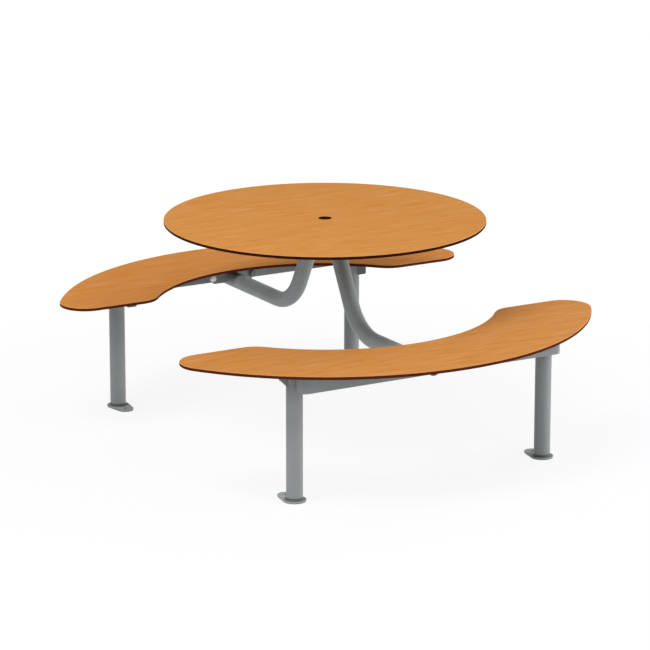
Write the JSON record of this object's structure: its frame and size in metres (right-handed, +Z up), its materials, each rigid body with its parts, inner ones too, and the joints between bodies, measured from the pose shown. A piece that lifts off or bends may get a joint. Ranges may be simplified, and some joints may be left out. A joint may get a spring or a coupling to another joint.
{
  "type": "round table with attached benches",
  "caption": "Round outdoor table with attached curved benches on a bent steel tube frame, with thin wood-grain boards, a parasol hole and bolt-down feet.",
  "frame": {"origin": "on the floor under the middle of the table top", "axes": "+Z up, +Y from the middle towards the rear bench, +X along the benches"},
  "size_m": [1.5708, 1.8246, 0.757],
  "materials": {
    "table_board": "satin",
    "seat_board": "satin",
    "frame_steel": "satin",
    "cap_plastic": "matte",
    "bright_steel": "satin"
  },
  "bodies": {
    "root": {"table_top": "table_board", "table_plate": "frame_steel", "table_screws": "bright_steel", "front_bent_tube": "frame_steel", "rear_bent_tube": "frame_steel", "front_seat": "seat_board", "rear_seat": "seat_board", "front_beam": "frame_steel", "rear_beam": "frame_steel", "front_left_leg": "frame_steel", "front_right_leg": "frame_steel", "rear_left_leg": "frame_steel", "rear_right_leg": "frame_steel", "front_left_foot": "frame_steel", "front_right_foot": "frame_steel", "rear_left_foot": "frame_steel", "rear_right_foot": "frame_steel", "front_left_gusset": "frame_steel", "front_right_gusset": "frame_steel", "rear_left_gusset": "frame_steel", "rear_right_gusset": "frame_steel", "front_left_arm": "frame_steel", "front_right_arm": "frame_steel", "rear_left_arm": "frame_steel", "rear_right_arm": "frame_steel", "front_left_cap": "cap_plastic", "front_right_cap": "cap_plastic", "rear_left_cap": "cap_plastic", "rear_right_cap": "cap_plastic", "front_left_pad": "frame_steel", "front_right_pad": "frame_steel", "rear_left_pad": "frame_steel", "rear_right_pad": "frame_steel", "front_saddle": "frame_steel", "rear_saddle": "frame_steel", "front_left_cleat": "frame_steel", "front_right_cleat": "frame_steel", "rear_left_cleat": "frame_steel", "rear_right_cleat": "frame_steel", "saddle_bolts": "bright_steel", "saddle_washers": "bright_steel", "saddle_nuts": "bright_steel", "seat_screws": "bright_steel"}
  },
  "joints": []
}
